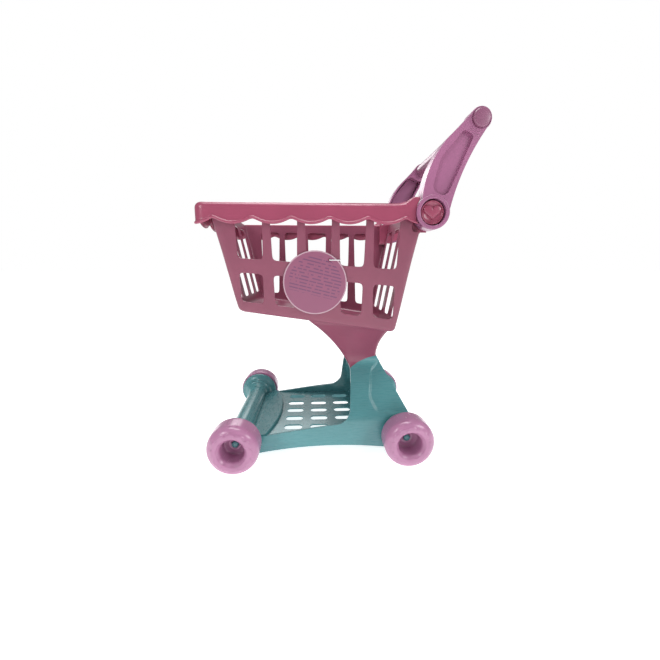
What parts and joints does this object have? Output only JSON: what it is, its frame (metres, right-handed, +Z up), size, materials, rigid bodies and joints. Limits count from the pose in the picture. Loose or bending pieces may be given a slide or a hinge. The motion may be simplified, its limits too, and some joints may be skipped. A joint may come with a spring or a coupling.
{
  "type": "toy shopping cart",
  "caption": "Child's push-along shopping cart: windowed basket with a scalloped rim on a waisted neck, slotted tray base, fat hub wheels and a handle that folds back.",
  "frame": {"origin": "on the floor that the wheels stand on, midway between the left and right sides and, to within 3 mm, between the front and the rear end of the handle", "axes": "+Z up, -Y towards the front of the cart, +Y towards the handle, +X to the side that carries the hang tag"},
  "size_m": [0.304, 0.4046, 0.5225],
  "materials": {
    "basket_plastic": "glossy moulded mauve-pink plastic",
    "rim_plastic": "glossy moulded rose-pink plastic",
    "grip_plastic": "glossy moulded pink plastic",
    "handle_plastic": "glossy moulded lilac-pink plastic",
    "wheel_plastic": "glossy moulded lilac plastic",
    "base_plastic": "glossy moulded teal plastic",
    "tag_card": "printed card with a silk varnish",
    "tie_plastic": "clear-white moulded tie"
  },
  "bodies": {
    "cart": {"basket_tub": "basket_plastic", "basket_rim": "rim_plastic", "basket_neck": "basket_plastic", "base_side_left": "base_plastic", "base_side_right": "base_plastic", "base_tray": "base_plastic", "base_post": "base_plastic", "front_axle_tube": "base_plastic", "rear_axle_tube": "base_plastic", "wheel_pin_front_left": "base_plastic", "wheel_pin_front_right": "base_plastic", "wheel_pin_rear_left": "base_plastic", "wheel_pin_rear_right": "base_plastic", "heart_cap_left": "rim_plastic", "heart_cap_right": "rim_plastic", "tag_tie": "tie_plastic"},
    "handle": {"handle_arm_left": "handle_plastic", "handle_arm_right": "handle_plastic", "grip_bar": "grip_plastic", "grip_cap_left": "grip_plastic", "grip_cap_right": "grip_plastic"},
    "tag": {"hang_tag": "tag_card"},
    "wheel_front_left": {"wheel_front_left": "wheel_plastic"},
    "wheel_front_right": {"wheel_front_right": "wheel_plastic"},
    "wheel_rear_left": {"wheel_rear_left": "wheel_plastic"},
    "wheel_rear_right": {"wheel_rear_right": "wheel_plastic"}
  },
  "joints": [
    {"name": "wheel_front_left_spin", "type": "hinge", "parent": "cart", "child": "wheel_front_left", "pos_m": [-0.133, -0.16, 0.04], "axis": [1, 0, 0], "continuous": true},
    {"name": "wheel_front_right_spin", "type": "hinge", "parent": "cart", "child": "wheel_front_right", "pos_m": [0.133, -0.16, 0.04], "axis": [1, 0, 0], "continuous": true},
    {"name": "wheel_rear_left_spin", "type": "hinge", "parent": "cart", "child": "wheel_rear_left", "pos_m": [-0.125, 0.115, 0.04], "axis": [1, 0, 0], "continuous": true},
    {"name": "wheel_rear_right_spin", "type": "hinge", "parent": "cart", "child": "wheel_rear_right", "pos_m": [0.125, 0.115, 0.04], "axis": [1, 0, 0], "continuous": true},
    {"name": "handle_fold", "type": "hinge", "parent": "cart", "child": "handle", "pos_m": [0, 0.1325, 0.3885], "axis": [-1, 0, 0], "range_deg": [0, 100]},
    {"name": "tag_swing", "type": "hinge", "parent": "cart", "child": "tag", "pos_m": [0.11591, -0.01083, 0.3237], "axis": [0.9962, 0, -0.0872], "range_deg": [-27, 13]}
  ]
}
